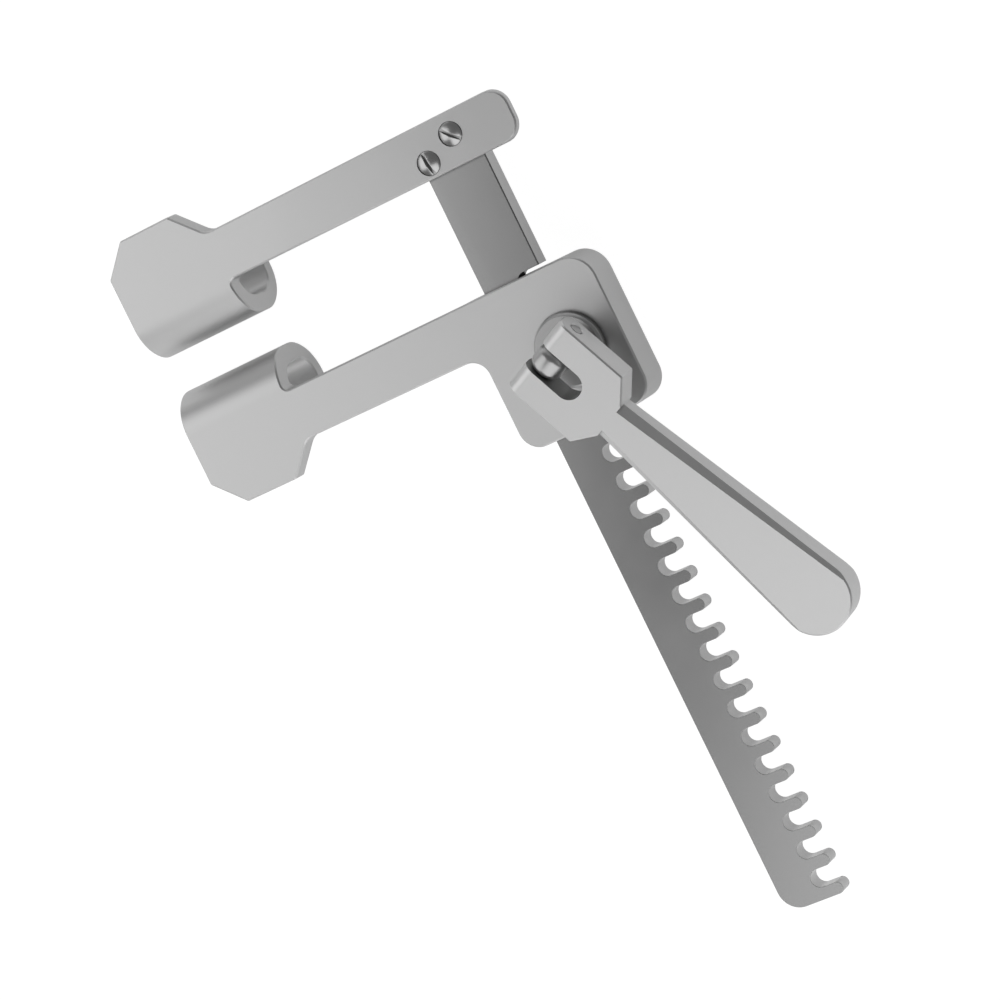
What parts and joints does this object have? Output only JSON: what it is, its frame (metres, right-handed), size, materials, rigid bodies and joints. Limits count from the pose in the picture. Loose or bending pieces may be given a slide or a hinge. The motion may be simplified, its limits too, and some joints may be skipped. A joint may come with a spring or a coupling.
{
  "type": "self retaining retractor",
  "caption": "Small rack-and-crank retractor: hooked fixed arm on a toothed bar, hooked sliding arm moved by a folding crank handle.",
  "frame": {"origin": "on the flat back face of the movable arm's housing, on the rack's centre line, level with the crank's axis", "axes": "+X from the blades towards the rack, +Y along the rack towards the fixed arm, +Z out of the front face, towards the crank handle"},
  "size_m": [0.0975, 0.1428, 0.0256],
  "materials": {
    "satin_steel": "satin, fine bead blast",
    "rack_steel": "satin, ground along its length",
    "bright_steel": "polished"
  },
  "bodies": {
    "rack": {"rack_bar": "rack_steel", "fixed_arm": "satin_steel", "arm_screw_upper": "bright_steel", "arm_screw_lower": "bright_steel"},
    "slider": {"movable_arm": "satin_steel"},
    "crank": {"crank_shaft": "bright_steel", "drive_pin_1": "bright_steel", "drive_pin_2": "bright_steel", "keeper_disc": "bright_steel"},
    "lever": {"crank_handle": "satin_steel", "hinge_pin": "bright_steel"}
  },
  "joints": [
    {"name": "arm_slide", "type": "slide", "parent": "rack", "child": "slider", "axis": [0, -1, 0], "range_m": [-0.006, 0.08]},
    {"name": "crank_turn", "type": "hinge", "parent": "slider", "child": "crank", "pos_m": [0.0055, 0, 0], "axis": [0, 0, 1], "range_deg": [-2900, 230]},
    {"name": "handle_fold", "type": "hinge", "parent": "crank", "child": "lever", "pos_m": [0.0055, 0, 0.01555], "axis": [-0.9171, -0.3987, 0], "range_deg": [0, 180]}
  ],
  "couplings": [
    {"joint": "crank_turn", "follows": "arm_slide", "rad_per_m": -628.32}
  ]
}
